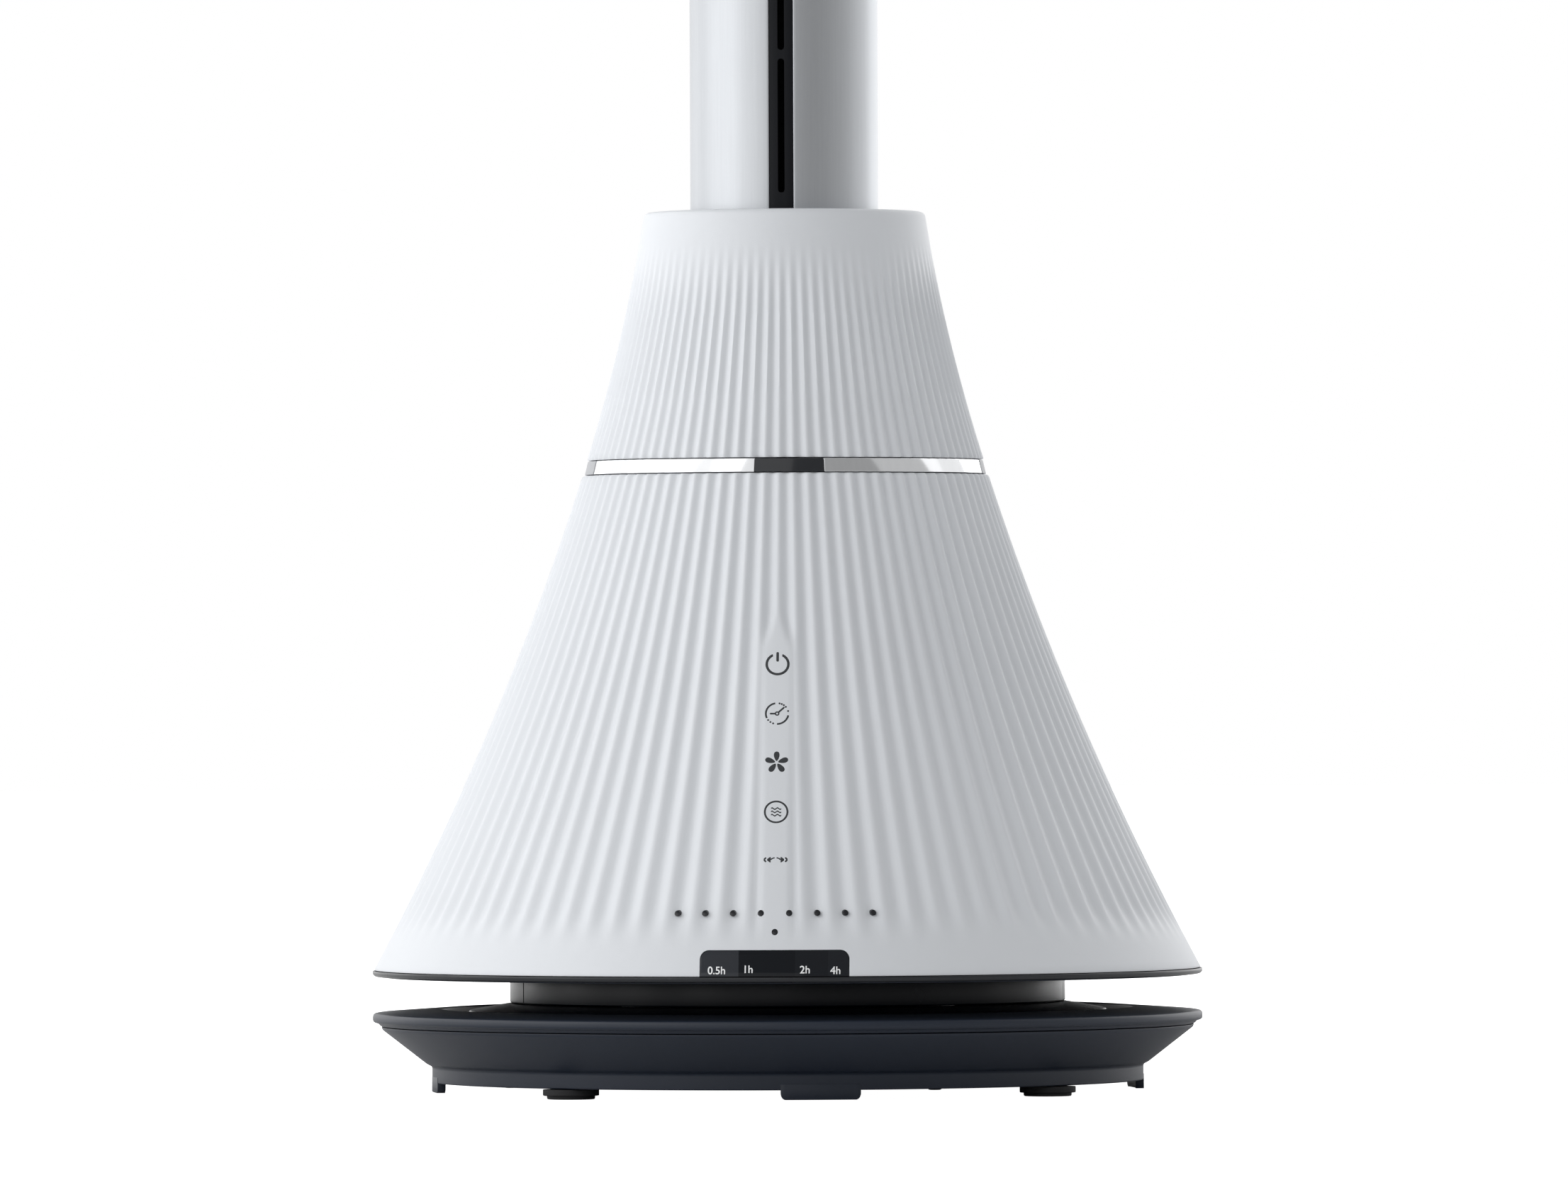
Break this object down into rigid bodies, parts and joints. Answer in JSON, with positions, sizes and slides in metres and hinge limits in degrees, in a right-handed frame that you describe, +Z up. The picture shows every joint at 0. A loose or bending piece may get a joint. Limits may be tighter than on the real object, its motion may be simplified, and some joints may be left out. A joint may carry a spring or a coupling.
{
  "type": "bladeless tower fan",
  "caption": "Slim bladeless tower fan: round weighted base, fluted cone that swings and draws air in below, touch icons on its front, and an aluminium column with air slots.",
  "frame": {"origin": "on the floor, under the centre of the round base", "axes": "+Z up along the column, -Y towards the front of the base, +X to the right seen from the front"},
  "size_m": [0.3, 0.3, 1.02],
  "materials": {
    "white_shell": "fine satin moulding",
    "black_shell": "satin moulding",
    "black_gloss": "polished",
    "rubber": "matt",
    "chrome_band": "bright",
    "grey_plastic": "satin",
    "column_aluminium": "satin anodised",
    "steel": "plain",
    "nylon": "natural",
    "board": "coated circuit board",
    "copper_winding": "lacquered wire",
    "filter_foam": "open foam",
    "clear_plastic": "smoked light guide"
  },
  "bodies": {
    "base": {"base_plate": "black_shell", "base_pan": "black_shell", "foot_1": "rubber", "foot_2": "rubber", "foot_3": "rubber", "foot_4": "rubber", "pan_screw_1": "steel", "pan_screw_2": "steel", "pan_screw_3": "steel", "pan_screw_4": "steel", "ballast_plate": "steel", "pivot_hub": "steel", "swing_gear": "nylon", "slide_ring": "nylon", "hub_retainer": "steel", "dc_inlet": "black_gloss"},
    "fan_body": {"band_front": "chrome_band", "band_rear": "grey_plastic", "bearing_lower": "steel", "bearing_upper": "steel", "column_collar": "grey_plastic", "column_seal": "rubber", "column_tube": "column_aluminium", "control_board": "board", "diffuser": "grey_plastic", "display_board": "board", "display_window": "black_gloss", "impeller_shroud": "grey_plastic", "intake_filter": "filter_foam", "intake_grille": "black_shell", "ir_receiver": "black_gloss", "ir_window": "black_gloss", "light_guide": "clear_plastic", "lower_cone": "white_shell", "motor_bracket": "column_aluminium", "motor_damper": "rubber", "motor_stator": "copper_winding", "mounting_ring": "grey_plastic", "neck_ring": "black_shell", "slot_strip": "black_gloss", "status_light": "clear_plastic", "stepper_motor": "steel", "top_cap": "white_shell", "touch_board": "board", "trim_ring": "black_gloss", "turntable": "black_shell", "upper_cone": "white_shell", "wiring_loom": "rubber"},
    "pinion": {"swing_pinion": "nylon"},
    "impeller": {"impeller": "grey_plastic", "impeller_nut": "steel", "motor_shaft": "steel", "motor_rotor": "steel"}
  },
  "joints": [
    {"name": "swing", "type": "hinge", "parent": "base", "child": "fan_body", "pos_m": [0, 0, 0.03], "axis": [0, 0, 1], "range_deg": [-33, 47]},
    {"name": "pinion_spin", "type": "hinge", "parent": "fan_body", "child": "pinion", "pos_m": [-0.04467, 0.00548, 0.025], "axis": [0, 0, 1], "range_deg": [-133, 189]},
    {"name": "impeller_spin", "type": "hinge", "parent": "fan_body", "child": "impeller", "pos_m": [0, 0, 0.15], "axis": [0, 0, 1], "continuous": true}
  ],
  "couplings": [
    {"joint": "pinion_spin", "follows": "swing", "ratio": 4}
  ]
}
